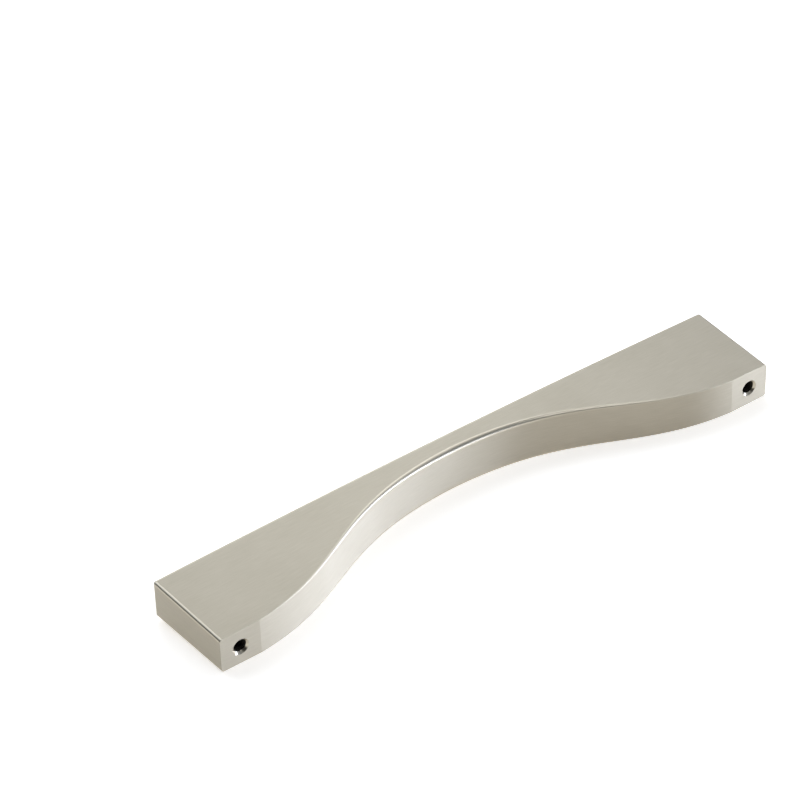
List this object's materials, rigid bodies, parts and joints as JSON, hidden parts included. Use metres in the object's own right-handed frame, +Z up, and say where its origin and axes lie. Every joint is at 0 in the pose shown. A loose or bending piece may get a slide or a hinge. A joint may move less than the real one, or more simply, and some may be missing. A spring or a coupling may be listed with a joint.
{
  "type": "bar pull",
  "caption": "Arched cabinet and drawer pull, cast in one piece, with a bowed front, an arch for the fingers and threaded feet.",
  "frame": {"origin": "midway between the two screw holes, on the plane of the door or drawer face that the feet meet", "axes": "X along the pull, +Y into the door, Z up across the pull's height in use"},
  "size_m": [0.173, 0.0274, 0.0134],
  "materials": {
    "satin_nickel": "brushed satin nickel plate on a zinc casting"
  },
  "bodies": {
    "root": {"pull_body": "satin_nickel"}
  },
  "joints": []
}
